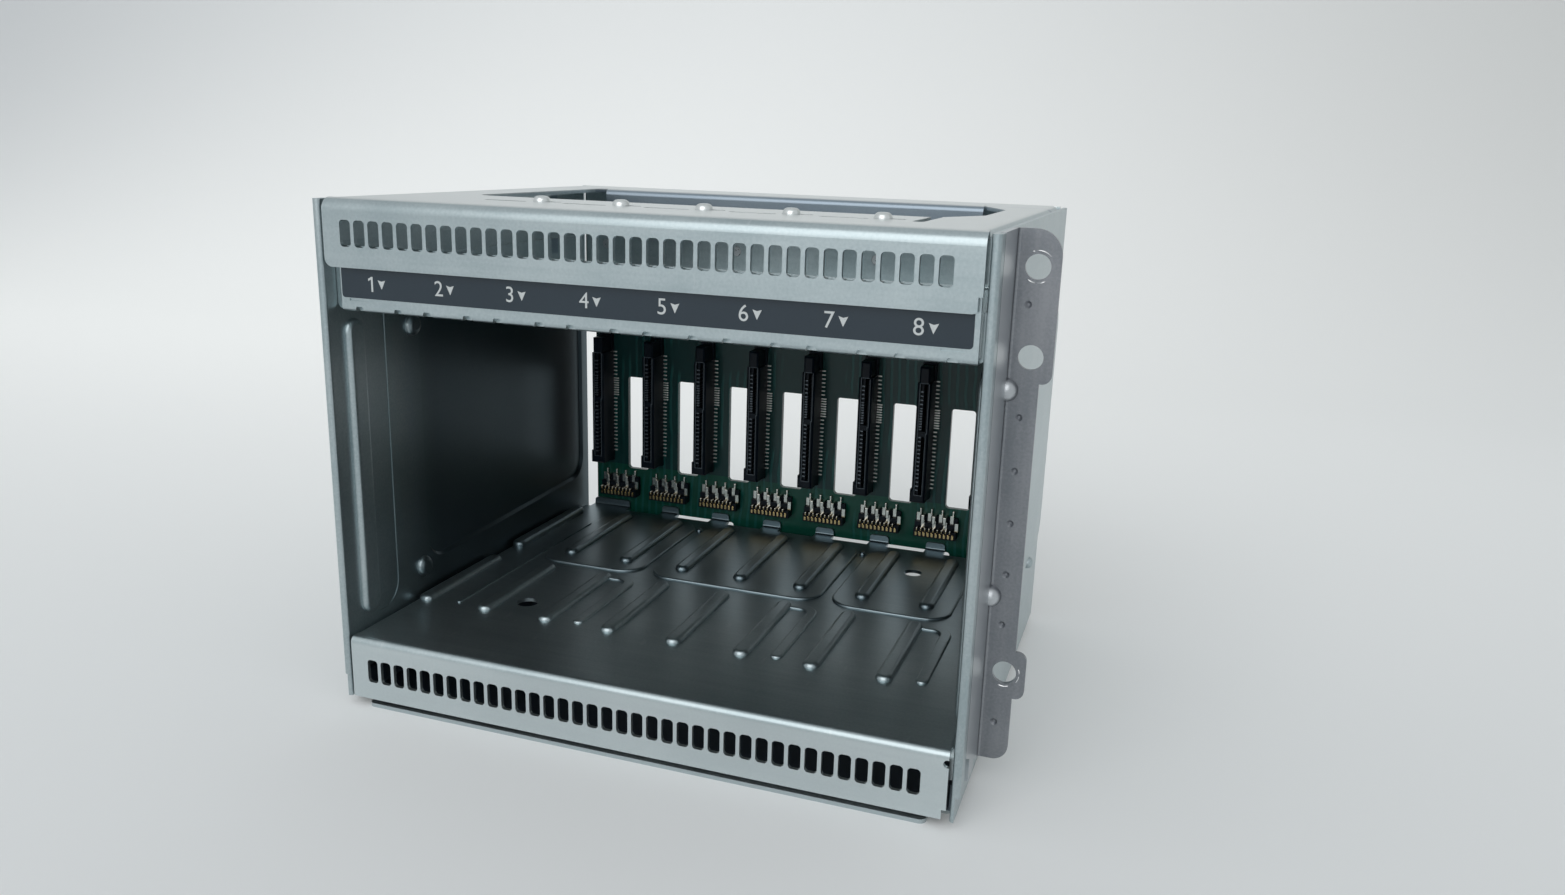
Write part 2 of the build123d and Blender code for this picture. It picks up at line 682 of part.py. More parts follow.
# Side walls: hemmed front edge, pressed bead, bumps and a large panel pressed outwards
hem_bottom = hem_lift
bead_bottom = shelf_level + wall_bead_foot
bead_top = deck_level - wall_bead_head
bump_levels = (shelf_level + bump_foot, deck_level - bump_head)
panel_outline = [
    (front + panel_start, shelf_level + panel_foot),
    (rear - panel_rear_rim, shelf_level + panel_foot + panel_foot_rise),
    (rear - panel_rear_rim, deck_level - panel_head),
    (front + panel_start, deck_level - panel_head),
]
with BuildPart() as plain_wall:
    with BuildSketch(Plane.YZ.offset(wall_inner)):
        with Locations((0, (wall_bottom + wall_top) / 2)):
            Rectangle(cage_depth, wall_top - wall_bottom)
    extrude(amount=sheet)
    with BuildSketch(Plane.YZ.offset(half_width)):
        with Locations((front + hem_depth / 2, (hem_bottom + wall_top) / 2)):
            Rectangle(hem_depth, wall_top - hem_bottom)
    extrude(amount=sheet)
    fillet(edges_at(plain_wall, X=leg_face, Y=front).filter_by(Axis.Z), hem_round)
    fillet(edges_at(plain_wall, X=wall_inner, Y=front).filter_by(Axis.Z), hem_round)
    with BuildSketch(Plane.YZ.offset(half_width)):
        with BuildLine():
            Polyline(*panel_outline, close=True)
        make_face()
        fillet(vertices(), panel_corner)
    extrude(amount=panel_depth, taper=45)
    with BuildSketch(Plane.YZ.offset(wall_inner)):
        with BuildLine():
            Polyline(*panel_outline, close=True)
        make_face()
        fillet(vertices(), panel_corner)
    extrude(amount=panel_depth, taper=45, mode=Mode.SUBTRACT)
    # Bead and bumps, pressed inwards
    with BuildSketch(Plane.YZ.offset(wall_inner)):
        with Locations((front + wall_bead_middle, (bead_bottom + bead_top) / 2)):
            SlotOverall(bead_top - bead_bottom, wall_bead_width, rotation=90)
    extrude(amount=-press_depth)
    fillet(edges_at(plain_wall, X=wall_inner - press_depth), press_depth - blend / 4)
    with BuildSketch(Plane.YZ.offset(wall_inner)):
        for level in bump_levels:
            with Locations((front + bump_setback, level)):
                Circle(bump_radius)
    extrude(amount=-bump_depth)
    fillet(edges_at(plain_wall, X=wall_inner - bump_depth), bump_depth - blend / 4)
    with BuildSketch(Plane.YZ.offset(half_width)):
        with Locations((front + wall_bead_middle, (bead_bottom + bead_top) / 2)):
            SlotOverall(bead_top - bead_bottom - 2 * sheet, wall_bead_width - 2 * sheet, rotation=90)
    extrude(amount=-press_depth, mode=Mode.SUBTRACT)
    with BuildSketch(Plane.YZ.offset(half_width)):
        for level in bump_levels:
            with Locations((front + bump_setback, level)):
                Circle(bump_radius - sheet)
    extrude(amount=-bump_depth, mode=Mode.SUBTRACT)
    # Fine step in the sheet beside the bead
    with BuildSketch(Plane.YZ.offset(wall_inner)):
        with BuildLine():
            FilletPolyline(
                (front + joggle_start, shelf_level + joggle_foot),
                (front + joggle_setback, shelf_level + joggle_foot),
                (front + joggle_setback, bead_top),
                radius=joggle_turn,
            )
        trace(line_width=joggle_width)
    extrude(amount=joggle_depth, mode=Mode.SUBTRACT)

with BuildPart() as left_side_wall:
    mirror(plain_wall.part, about=Plane.YZ)
write(left_side_wall.part, "left_side_wall")

with BuildPart() as right_side_wall:
    add(plain_wall.part)
    with BuildSketch(Plane.YZ.offset(half_width)):
        with Locations((rear - lance_rear_rim, shelf_level + lance_lift)):
            Circle(lance_radius)
    extrude(amount=lance_height)
    fillet(edges_at(right_side_wall, X=half_width + lance_height), lance_radius - blend / 2)
write(right_side_wall.part, "right_side_wall")

# Bottom pan: carries the walls and stands on the ground
with BuildPart() as bottom_pan:
    with BuildSketch(Plane.XZ.offset(-front - pan_nose)):
        with BuildLine():
            FilletPolyline(
                (-flange_middle, pan_side_flange),
                (-flange_middle, sheet / 2),
                (flange_middle, sheet / 2),
                (flange_middle, pan_side_flange),
                radius=mid_fold,
            )
        trace(line_width=sheet)
    extrude(amount=pan_nose - shelf_depth)
    with BuildSketch(Plane.XY):
        with Locations((0, front + pan_nose / 2)):
            Rectangle(2 * (wall_inner - pan_nose_inset), pan_nose)
    extrude(amount=sheet)
    fillet(edges_at(bottom_pan, X=wall_inner - pan_nose_inset, Y=front).filter_by(Axis.Z), pan_corner)
    fillet(edges_at(bottom_pan, X=pan_nose_inset - wall_inner, Y=front).filter_by(Axis.Z), pan_corner)
write(bottom_pan.part, "bottom_pan")

# Mounting ear: the leg lies on the right wall and the face stands out to the right
ear_hole_levels = (
    ear_bottom + ear_hole_foot,
    ear_top - ear_hole_head - ear_hole_pitch,
    ear_top - ear_hole_head,
)
ear_pip_count = int((ear_shoulder - ear_bottom - ear_pip_row) / ear_pip_pitch) + 1
ear_pip_levels = [ear_bottom + ear_pip_row + index * ear_pip_pitch for index in range(ear_pip_count)]
ear_pip_levels += [ear_bottom + ear_pip_foot, ear_top - ear_pip_head]
leg_start = front + hem_depth + ear_gap
with BuildPart() as ear_darts:
    for level in (ear_bottom + dart_foot, ear_shoulder - dart_head):
        with Locations((leg_face, ear_front, level)):
            Sphere(dart_radius)
    with BuildSketch(Plane.XY.offset(ear_bottom)):
        with Locations((leg_face - sheet / 2 + 2 * dart_radius, ear_front + sheet / 2 - 2 * dart_radius)):
            Rectangle(4 * dart_radius, 4 * dart_radius)
    extrude(amount=ear_top - ear_bottom, mode=Mode.INTERSECT)

with BuildPart() as mounting_ear:
    with BuildSketch(Plane.XY.offset(ear_bottom)):
        with BuildLine():
            FilletPolyline(
                (half_width + sheet / 2, leg_start),
                (half_width + sheet / 2, ear_front + sheet / 2),
                (leg_face + relief, ear_front + sheet / 2),
                radius=mid_fold,
            )
        trace(line_width=sheet)
    extrude(amount=ear_top - ear_bottom)
    with BuildSketch(Plane.XZ.offset(-ear_front)):
        with BuildLine():
            Polyline(
                (leg_face + relief, ear_bottom),
                (leg_face + ear_waist, ear_bottom),
                (leg_face + ear_waist, ear_bottom + ear_tab_foot),
                (leg_face + ear_reach, ear_bottom + ear_tab_foot),
                (leg_face + ear_reach, ear_bottom + ear_tab_foot + ear_tab_height),
                (leg_face + ear_waist, ear_bottom + ear_tab_foot + ear_tab_height),
                (leg_face + ear_waist, ear_shoulder),
                (leg_face + ear_reach, ear_shoulder),
                (leg_face + ear_reach, ear_top),
                (leg_face + relief, ear_top),
                close=True,
            )
        make_face()
        fillet(vertices().group_by(Axis.X)[-1].sort_by(Axis.Y)[-1], ear_head_corner)
        fillet(vertices().group_by(Axis.X)[-1].sort_by(Axis.Y)[0:3], ear_tab_corner)
        fillet(vertices().group_by(Axis.Y)[0].sort_by(Axis.X)[-1], ear_corner)
    extrude(amount=-sheet)
    with BuildSketch(Plane.XZ.offset(-ear_front)):
        for level in ear_pip_levels:
            with Locations((leg_face + ear_pip_reach, level)):
                Circle(ear_pip_radius)
    extrude(amount=-ear_pip_depth, taper=45, mode=Mode.SUBTRACT)
    with BuildSketch(Plane.XZ.offset(-ear_front)):
        for level in ear_hole_levels:
            with Locations((leg_face + ear_hole_reach, level)):
                Circle(ear_hole_radius)
    extrude(amount=-sheet, mode=Mode.SUBTRACT)
    # The foot of the leg is cut on a slope and leaves a small tab
    with BuildSketch(Plane.YZ.offset(half_width)):
        with BuildLine():
            Polyline(
                (leg_start, ear_bottom),
                (ear_front - fold, ear_bottom),
                (leg_start, ear_bottom + leg_cut),
                close=True,
            )
        make_face()
        with Locations((leg_start + leg_tab_start + leg_tab_width / 2, ear_bottom + leg_cut / 2)):
            Rectangle(leg_tab_width, leg_cut, mode=Mode.SUBTRACT)
    extrude(amount=sheet, mode=Mode.SUBTRACT)
    add(ear_darts.part)
write(mounting_ear.part, "mounting_ear")

# Backplane board with a tall window beside each connector
with BuildPart() as backplane_board:
    with BuildSketch(Plane.XZ.offset(-board_front)):
        with Locations((0, (board_bottom + board_top) / 2)):
            Rectangle(2 * board_half, board_top - board_bottom)
        for first, last in board_cut_bays:
            left, right = bay_places[first] + board_cut_start, bay_places[last] + board_cut_end
            with Locations(((left + right) / 2, board_bottom)):
                Rectangle(right - left, 2 * board_cut_rise, mode=Mode.SUBTRACT)
        fillet(vertices(), board_corner)
        for bay in bay_places:
            with Locations((bay + window_shift, shelf_level + window_foot + window_height / 2)):
                RectangleRounded(window_width, window_height, window_corner, mode=Mode.SUBTRACT)
        for screw_x in screw_places:
            with Locations((screw_x, screw_level)):
                Circle(screw_radius + screw_fit, mode=Mode.SUBTRACT)
    extrude(amount=-board_thickness)
write(backplane_board.part, "backplane_board")

# Four screws through the board into the rear flange of the deck
with BuildPart() as board_screws:
    with BuildSketch(Plane.XZ.offset(-board_rear)):
        for screw_x in screw_places:
            with Locations((screw_x, screw_level)):
                Circle(screw_head_radius)
    extrude(amount=-screw_head_height)
    fillet(edges_at(board_screws, Y=board_rear + screw_head_height), screw_head_height / 2)
    with BuildSketch(Plane.XZ.offset(-board_rear - screw_head_height)):
        for screw_x in screw_places:
            with Locations((screw_x, screw_level)):
                RegularPolygon(screw_head_radius / 2, 6)
    extrude(amount=screw_recess, mode=Mode.SUBTRACT)
    with BuildSketch(Plane.XZ.offset(-board_rear)):
        for screw_x in screw_places:
            with Locations((screw_x, screw_level)):
                Circle(screw_radius)
    extrude(amount=board_rear - carrier_rear + sheet)
write(board_screws.part, "board_screws")


def drive_connector(bay):
    """A tall black housing with a keyed mouth that takes the drive's edge contacts."""
    middle = bay + housing_shift
    with BuildPart() as housing:
        with BuildSketch(Plane.XZ.offset(-board_front)):
            with Locations((middle, (housing_bottom + housing_top - housing_neck) / 2)):
                Rectangle(housing_width, housing_height - housing_neck)
            with Locations((middle, (housing_bottom + housing_top) / 2)):
                Rectangle(housing_neck_width, housing_height)
            toe_middle = middle + (housing_width - housing_toe_width) / 2
            with Locations((toe_middle, housing_bottom + housing_toe / 2)):
                Rectangle(housing_toe_width, housing_toe)
        extrude(amount=housing_depth)
        chamfer(housing.faces().sort_by(Axis.Y)[0].edges(), housing_edge)
        with BuildSketch(Plane.XZ.offset(-board_front)):
            with Locations((middle, (housing_bottom + housing_top) / 2)):
                Rectangle(housing_width, housing_height + 2 * housing_base_margin)
        extrude(amount=housing_base_depth)
        with BuildSketch(Plane.XZ.offset(housing_depth - board_front)):
            with Locations((middle, mouth_bottom + mouth_height / 2)):
                Rectangle(mouth_width, mouth_height)
            with Locations((middle, housing_bottom + key_lift)):
                Rectangle(mouth_width, key_height, mode=Mode.SUBTRACT)
        extrude(amount=-mouth_depth, mode=Mode.SUBTRACT)
        with BuildSketch(Plane.XZ.offset(housing_depth - mouth_depth - board_front)):
            with Locations((middle - (mouth_width - tongue_width) / 2, mouth_bottom + mouth_height / 2)):
                Rectangle(tongue_width, mouth_height)
        extrude(amount=tongue_depth)
    return housing.part


tail_bottom = housing_bottom + tail_lift
tail_levels = [tail_bottom + index * coarse_pitch for index in range(coarse_low_count)]
fine_bottom = tail_levels[-1] + coarse_pitch
tail_levels += [fine_bottom + index * fine_pitch for index in range(fine_count)]
high_bottom = tail_levels[-1] + coarse_pitch
tail_levels += [high_bottom + index * coarse_pitch for index in range(coarse_high_count)]


def connector_tails(bay):
    """The contacts that leave the housing at its right and are soldered to the board."""
    start = bay + housing_shift + housing_width / 2
    with BuildPart() as tails:
        with BuildSketch(Plane.XZ.offset(-board_front)):
            for level in tail_levels:
                reach = fine_tail_reach if fine_bottom <= level < high_bottom else tail_reach
                with Locations((start + reach / 2, level)):
                    Rectangle(reach, tail_height)
        extrude(amount=tail_width)
        for reach in (tail_reach, fine_tail_reach):
            fillet(edges_at(tails, X=start + reach, Y=board_front - tail_width), tail_width / 2)
    return tails.part


def contact_block(bay):
    """A low stepped block whose rows of spring contacts face the front."""
    with BuildPart() as block:
        for row in range(block_rows):
            height = block_height - row * block_row_rise
            with BuildSketch(Plane.XZ.offset(row * block_step - board_front)):
                with Locations((bay + block_shift, block_bottom + height / 2)):
                    Rectangle(block_width, height)
            extrude(amount=block_step)
    return block.part


def contact_fingers(bay):
    """Two staggered rows of flat spring contacts and a row of pins along the foot."""
    with BuildPart() as fingers:
        for row in range(block_rows - 1):
            top = block_bottom + block_height - row * block_row_rise
            shift = finger_shift + block_shift + (row - 0.5) * finger_stagger
            with BuildSketch(Plane.XZ.offset((row + 1) * block_step - board_front)):
                with Locations((bay + shift, top - block_row_rise / 2 + finger_rise)):
                    with GridLocations(finger_pitch, 1, finger_count, 1):
                        Rectangle(finger_width, finger_height)
            extrude(amount=finger_depth)
        with BuildSketch(Plane.XZ.offset(block_rows * block_step - board_front)):
            with Locations((bay + block_shift, block_bottom + pin_height)):
                with GridLocations(pin_pitch, 1, pin_count, 1):
                    Rectangle(pin_width, pin_height)
        extrude(amount=pin_width)
    return fingers.part


for index, bay in enumerate(bay_places):
    number = index + 1
    write(drive_connector(bay), f"drive_connector_{number}")
    write(connector_tails(bay), f"connector_tails_{number}")
    write(contact_block(bay), f"contact_block_{number}")
    write(contact_fingers(bay), f"contact_fingers_{number}")


def data_connector(place):
    """A metal-shelled socket for a data cable, open to the rear."""
    with BuildPart() as shell:
        with BuildSketch(Plane.XZ.offset(-board_rear)):
            with Locations((place, connector_level)):
                Rectangle(data_connector_width, data_connector_height)
        extrude(amount=-data_connector_depth)
        fillet(shell.edges().filter_by(Axis.Y), shell_wall / 2)
        with BuildSketch(Plane.XZ.offset(-board_rear - data_connector_depth)):
            with Locations((place, connector_level)):
                Rectangle(data_connector_width - 2 * shell_wall, data_connector_height - 2 * shell_wall)
        extrude(amount=data_connector_depth - shell_wall, mode=Mode.SUBTRACT)
    return shell.part


def data_tongue(place):
    """The contact tongue inside a data socket."""
    with BuildPart() as tongue:
        with BuildSketch(Plane.XZ.offset(-board_rear - shell_wall)):
            with Locations((place, connector_level)):
                Rectangle(data_connector_width - 4 * shell_wall, tongue_thickness)
        extrude(amount=-data_connector_depth + 3 * shell_wall)
    return tongue.part


for index, place in enumerate(data_connector_places):
    write(data_connector(place), f"data_connector_{index + 1}")
    write(data_tongue(place), f"data_tongue_{index + 1}")

# Power connector: a block with two rows of square cells
with BuildPart() as power_connector:
    with BuildSketch(Plane.XZ.offset(-board_rear)):
        with Locations((power_connector_place, connector_level)):
            Rectangle(power_connector_width, power_connector_height)
    extrude(amount=-power_connector_depth)
    with BuildSketch(Plane.XZ.offset(-board_rear - power_connector_depth)):
        with Locations((power_connector_place, connector_level)):
            with GridLocations(power_pitch, power_pitch, power_columns, 2):
                RectangleRounded(power_cavity, power_cavity, blend)
    extrude(amount=power_connector_depth - shell_wall, mode=Mode.SUBTRACT)
write(power_connector.part, "power_connector")

# Signal header: a small open box with a key slot
with BuildPart() as signal_header:
    with BuildSketch(Plane.XZ.offset(-board_rear)):
        with Locations((header_place, connector_level)):
            Rectangle(header_width, header_height)
    extrude(amount=-header_depth)
    with BuildSketch(Plane.XZ.offset(-board_rear - header_depth)):
        with Locations((header_place, connector_level)):
            Rectangle(header_width - 2 * shell_wall, header_height - 2 * shell_wall)
        with Locations((header_place, connector_level + header_height / 2)):
            Rectangle(header_height / 2, 3 * shell_wall)
    extrude(amount=header_depth - shell_wall, mode=Mode.SUBTRACT)
write(signal_header.part, "signal_header")

# Chips and capacitors on the rear of the board
with BuildPart() as board_chips:
    with BuildSketch(Plane.XZ.offset(-board_rear)):
        for chip_x in chip_places:
            with Locations((chip_x, deck_level - chip_drop)):
                Rectangle(chip_size, chip_size)
    extrude(amount=-chip_height)
    chamfer(edges_at(board_chips, Y=board_rear + chip_height), blend / 2)
write(board_chips.part, "board_chips")

with BuildPart() as board_capacitors:
    with BuildSketch(Plane.XZ.offset(-board_rear)):
        for bay in bay_places:
            with Locations((bay, deck_level - capacitor_drop)):
                with GridLocations(capacitor_width * 2, 1, 2, 1):
                    Rectangle(capacitor_width, capacitor_height)
    extrude(amount=-capacitor_rise)
write(board_capacitors.part, "board_capacitors")
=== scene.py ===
import math

import bpy
from mathutils import Matrix, Vector


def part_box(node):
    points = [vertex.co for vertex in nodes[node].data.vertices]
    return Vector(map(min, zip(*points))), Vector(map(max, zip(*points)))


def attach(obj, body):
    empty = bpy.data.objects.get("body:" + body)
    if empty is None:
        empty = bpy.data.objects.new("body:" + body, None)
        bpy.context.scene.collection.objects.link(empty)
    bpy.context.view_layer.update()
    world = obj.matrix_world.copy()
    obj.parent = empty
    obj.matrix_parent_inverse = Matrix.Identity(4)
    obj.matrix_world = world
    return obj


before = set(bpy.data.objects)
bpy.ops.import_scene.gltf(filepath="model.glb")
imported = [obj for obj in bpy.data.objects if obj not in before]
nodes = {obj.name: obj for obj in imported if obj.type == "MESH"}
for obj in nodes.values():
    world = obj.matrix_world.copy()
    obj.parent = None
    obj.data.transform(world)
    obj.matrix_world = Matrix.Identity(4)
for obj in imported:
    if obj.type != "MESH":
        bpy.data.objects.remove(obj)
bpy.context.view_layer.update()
MM = 0.001

# Camera: where the photograph was taken from, a little to the right and above.
# Its lens and place come from matching the cage's known corners.
PHOTO_WIDTH = 1565
FOCAL_PIXELS = 1161.4
CAMERA_PLACE = Vector((0.110221, -0.279864, 0.138782))
CAMERA_TURN, CAMERA_DIP, CAMERA_LEAN = (math.radians(angle) for angle in (18.734, 14.564, 1.754))

back = Vector((
    math.sin(CAMERA_TURN) * math.cos(CAMERA_DIP),
    -math.cos(CAMERA_TURN) * math.cos(CAMERA_DIP),
    math.sin(CAMERA_DIP),
))
level_right = Vector((0, 0, 1)).cross(back).normalized()
level_up = back.cross(level_right)
right = math.cos(CAMERA_LEAN) * level_right + math.sin(CAMERA_LEAN) * level_up
up = back.cross(right)
camera_data = bpy.data.cameras.new("photo_camera")
camera_data.sensor_width = 36.0
camera_data.lens = FOCAL_PIXELS / PHOTO_WIDTH * camera_data.sensor_width
camera_data.clip_start = 0.01
camera = bpy.data.objects.new("photo_camera", camera_data)
bpy.context.collection.objects.link(camera)
camera.matrix_world = Matrix.Translation(CAMERA_PLACE) @ Matrix((right, up, back)).transposed().to_4x4()
bpy.context.scene.camera = camera


# Folded sheets: the top panel, the shelf of the bays and the deck above them. Steel 1 mm thick,
# punched, pressed and folded. Its satin zinc plating is mottled and finely lined. Painted shade
# darkens it towards the rear of the bays and on the flange behind the opening in the top, and a
# painted reflection lightens it on top and on the vent flange under the shelf.
class Wire:
    """An output of a material's node, so that shader maths reads as sums and products."""

    def __init__(self, finish, socket):
        self.finish = finish
        self.socket = socket

    def maths(self, operation, first, second):
        return self.finish.node("ShaderNodeMath", {"operation": operation}, {0: first, 1: second})

    def __add__(self, other):
        return self.maths("ADD", self, other)

    def __sub__(self, other):
        return self.maths("SUBTRACT", self, other)

    def __mul__(self, other):
        return self.maths("MULTIPLY", self, other)

    def __rsub__(self, other):
        return self.maths("SUBTRACT", other, self)

    __radd__ = __add__
    __rmul__ = __mul__

    def between(self, low, high):
        """0 below low, 1 above high and smooth in between."""
        return self.finish.node("ShaderNodeMapRange", {"interpolation_type": "SMOOTHSTEP"},
                                {"Value": self, "From Min": low, "From Max": high})

    def band(self, low, high, fade):
        """1 from low to high, falling to 0 over the fade on either side."""
        return self.between(low - fade, low) * (1 - self.between(high, high + fade))


class Finish:
    """A surface finish: one Principled shader with its nodes."""

    def __init__(self, name, **plain):
        self.material = bpy.data.materials.new(name)
        self.material.use_nodes = True
        self.tree = self.material.node_tree
        self.tree.nodes.clear()
        self.shader = self.tree.nodes.new("ShaderNodeBsdfPrincipled")
        output = self.tree.nodes.new("ShaderNodeOutputMaterial")
        self.tree.links.new(self.shader.outputs[0], output.inputs[0])
        for socket, value in plain.items():
            self.set(socket.replace("_", " "), value)
        coordinates = self.tree.nodes.new("ShaderNodeTexCoord")
        self.place = Wire(self, coordinates.outputs["Object"])

    def connect(self, socket, value):
        if isinstance(value, Wire):
            self.tree.links.new(value.socket, socket)
        elif socket.type == "RGBA" and len(value) == 3:
            socket.default_value = (*value, 1.0)
        else:
            socket.default_value = value

    def node(self, kind, settings, sockets, output=0):
        made = self.tree.nodes.new(kind)
        for name, value in settings.items():
            setattr(made, name, value)
        for name, value in sockets.items():
            self.connect(made.inputs[name], value)
        return Wire(self, made.outputs[output])

    def set(self, socket, value):
        self.connect(self.shader.inputs[socket], value)

    def along(self, axis):
        """Distance in metres along the X, Y or Z axis of the cage."""
        return self.node("ShaderNodeSeparateXYZ", {}, {0: self.place}, output="XYZ".index(axis))

    def noise(self, scale, detail=2.0, stretch=(1.0, 1.0, 1.0)):
        """Noise with about scale spots to the metre, drawn out along an axis by a stretch under 1."""
        place = self.node("ShaderNodeVectorMath", {"operation": "MULTIPLY"}, {0: self.place, 1: stretch})
        return self.node("ShaderNodeTexNoise", {}, {"Vector": place, "Scale": scale, "Detail": detail})

    def blend(self, amount, first, second):
        return self.node("ShaderNodeMix", {"data_type": "RGBA"}, {0: amount, 6: first, 7: second}, output=2)

    def bump(self, height, depth):
        """Bump from a height of 0 to 1, which stands for depth metres."""
        sockets = {"Height": height, "Strength": 1.0, "Distance": depth}
        self.set("Normal", self.node("ShaderNodeBump", {}, sockets))


def dress(finish, *names):
    """Gives each named CAD piece its finish."""
    for name in names:
        mesh = nodes[name].data
        mesh.materials.clear()
        mesh.materials.append(finish.material)


FADE = 1.0 * MM             # over which one tone of the plating passes into the next
BAYS_FOOT, BAYS_HEAD = 18.0 * MM, 97.0 * MM         # the sheets face the bays between these levels
BAY_SHADE_START, BAY_SHADE_END = -45.0 * MM, 30.0 * MM        # painted shade, deeper and deeper from front to rear
LIP_TOP = 17.0 * MM         # of the vent flange under the shelf
FLANGE_FRONT, FLANGE_REAR = 39.0 * MM, 42.0 * MM    # of the flange behind the opening in the top
FLANGE_FOOT = 105.0 * MM
SHEET_TOP, TOP_FADE = 124.5 * MM, 0.3 * MM
GRAIN_DEPTH = 0.006 * MM
ZINC_TONES = ((0.40, 0.475, 0.495), (0.52, 0.59, 0.605))
ZINC_MARK = (0.62, 0.67, 0.68)
ZINC_LIP_REFLECTION = (0.74, 0.80, 0.81)
ZINC_BAY_SHADE = (0.055, 0.10, 0.13)
ZINC_FLANGE_SHADE = (0.19, 0.24, 0.31)
ZINC_TOP_REFLECTION = (0.86, 0.875, 0.86)
zinc = Finish("zinc_plated_sheet", Metallic=0.94)
zinc_clouds = zinc.noise(55, 4.0)
zinc_mottle = zinc.noise(1500, 3.0)
zinc_rolling = zinc.noise(700, 2.0, stretch=(0.05, 1.0, 1.0))
zinc_marks = zinc.noise(420, 5.0, stretch=(1.0, 0.35, 0.35)).between(0.66, 0.72)
zinc_tone = zinc_clouds * 0.4 + zinc_mottle * 0.35 + zinc_rolling * 0.25
zinc_height, zinc_depth = zinc.along("Z"), zinc.along("Y")
bay_shade = zinc_height.band(BAYS_FOOT, BAYS_HEAD, FADE) * zinc_depth.between(BAY_SHADE_START, BAY_SHADE_END)
flange_shade = zinc_depth.band(FLANGE_FRONT, FLANGE_REAR, FADE)
flange_shade = flange_shade * zinc_height.between(FLANGE_FOOT - FADE, FLANGE_FOOT)
top_reflection = zinc_height.between(SHEET_TOP - TOP_FADE, SHEET_TOP)
lip_reflection = 1 - zinc_height.between(LIP_TOP - FADE, LIP_TOP)
zinc_colour = zinc.blend(zinc_tone.between(0.3, 0.7), *ZINC_TONES)
zinc_colour = zinc.blend(zinc_marks * 0.3, zinc_colour, ZINC_MARK)
# Painted reflection: the vent flange under the shelf is lighter, as it mirrors the pale table.
zinc_colour = zinc.blend(lip_reflection * 0.55, zinc_colour, ZINC_LIP_REFLECTION)
# Painted shade: the sheets darken inside the bays, more and more towards the rear.
zinc_colour = zinc.blend(bay_shade * 0.66, zinc_colour, ZINC_BAY_SHADE)
# Painted shade on the flange behind the opening in the top.
zinc_colour = zinc.blend(flange_shade * 0.65, zinc_colour, ZINC_FLANGE_SHADE)
# Painted reflection: the top is lighter, as it mirrors the pale wall behind.
zinc.set("Base Color", zinc.blend(top_reflection * 0.75, zinc_colour, ZINC_TOP_REFLECTION))
zinc.set("Roughness", 0.25 + zinc_clouds * 0.08 + zinc_mottle * 0.06)
zinc.bump(zinc_mottle * 0.75 + zinc_rolling * 0.25, GRAIN_DEPTH)
dress(zinc, "top_panel", "bottom_shelf", "upper_guide_deck")

# Bottom pan: the same plated steel, with its sides folded up. Its inside, under the shelf, is
# painted dark as shade and made rougher. The front lip and the underside keep the plain plating.
PAN_LIP = -57.5 * MM
PAN_LIP_FADE = 2.0 * MM
PAN_UNDERSIDE, PAN_INSIDE = 0.7 * MM, 0.9 * MM      # heights within the thickness of the sheet
PAN_TONES = ((0.42, 0.49, 0.51), (0.54, 0.605, 0.62))
PAN_SHADE_TONES = ((0.06, 0.085, 0.115), (0.10, 0.13, 0.165))
pan_zinc = Finish("pan_sheet_painted_shade", Metallic=0.9)
pan_shaded_rough_inside = pan_zinc.along("Z").between(PAN_UNDERSIDE, PAN_INSIDE)
pan_shaded_rough_inside = pan_shaded_rough_inside * pan_zinc.along("Y").between(PAN_LIP, PAN_LIP + PAN_LIP_FADE)
pan_mottle = pan_zinc.noise(1500, 3.0)
pan_clouds = pan_zinc.noise(60, 3.0)
pan_plain_colour = pan_zinc.blend(pan_mottle * 0.5 + pan_clouds * 0.5, *PAN_TONES)
pan_shade_colour = pan_zinc.blend(pan_clouds, *PAN_SHADE_TONES)
# Painted shade darkens the pan's inside, and the same mask makes it rougher.
pan_zinc.set("Base Color", pan_zinc.blend(pan_shaded_rough_inside, pan_plain_colour, pan_shade_colour))
pan_zinc.set("Roughness", 0.27 + pan_clouds * 0.1 + pan_shaded_rough_inside * 0.25)
pan_zinc.bump(pan_mottle, GRAIN_DEPTH)
dress(pan_zinc, "bottom_pan")

# Side walls: the same plated steel, pressed, with a hem folded over each front edge. The plating
# keeps its plain tone at the front and outside, and painted shade darkens it deep in the bays,
# where it mirrors the board.
INNER_SIDE, OUTER_SIDE = -50.0 * MM, -20.0 * MM     # a point's place times its normal, both along X
WALL_SHADE_START, WALL_SHADE_FULL = -55.0 * MM, -20.0 * MM     # painted shade on the inside deepens from the first to the second
WALL_TONES = ((0.38, 0.455, 0.475), (0.49, 0.555, 0.57))
WALL_SHADE_TONE = (0.045, 0.07, 0.085)
WALL_GRAIN_DEPTH = 0.005 * MM
wall_zinc = Finish("drawn_wall_sheet", Metallic=0.94)
wall_clouds = wall_zinc.noise(40, 3.0)
wall_mottle = wall_zinc.noise(1700, 3.0)
wall_lines = wall_zinc.noise(900, 2.0, stretch=(1.0, 0.08, 1.0))
wall_tone = (wall_clouds * 0.5 + wall_lines * 0.1 + wall_mottle * 0.4).between(0.34, 0.66)
wall_normal = wall_zinc.node("ShaderNodeTexCoord", {}, {}, output="Normal")
wall_turn = wall_zinc.node("ShaderNodeSeparateXYZ", {}, {0: wall_normal})
wall_shade = 1 - (wall_turn * wall_zinc.along("X")).between(INNER_SIDE, OUTER_SIDE)
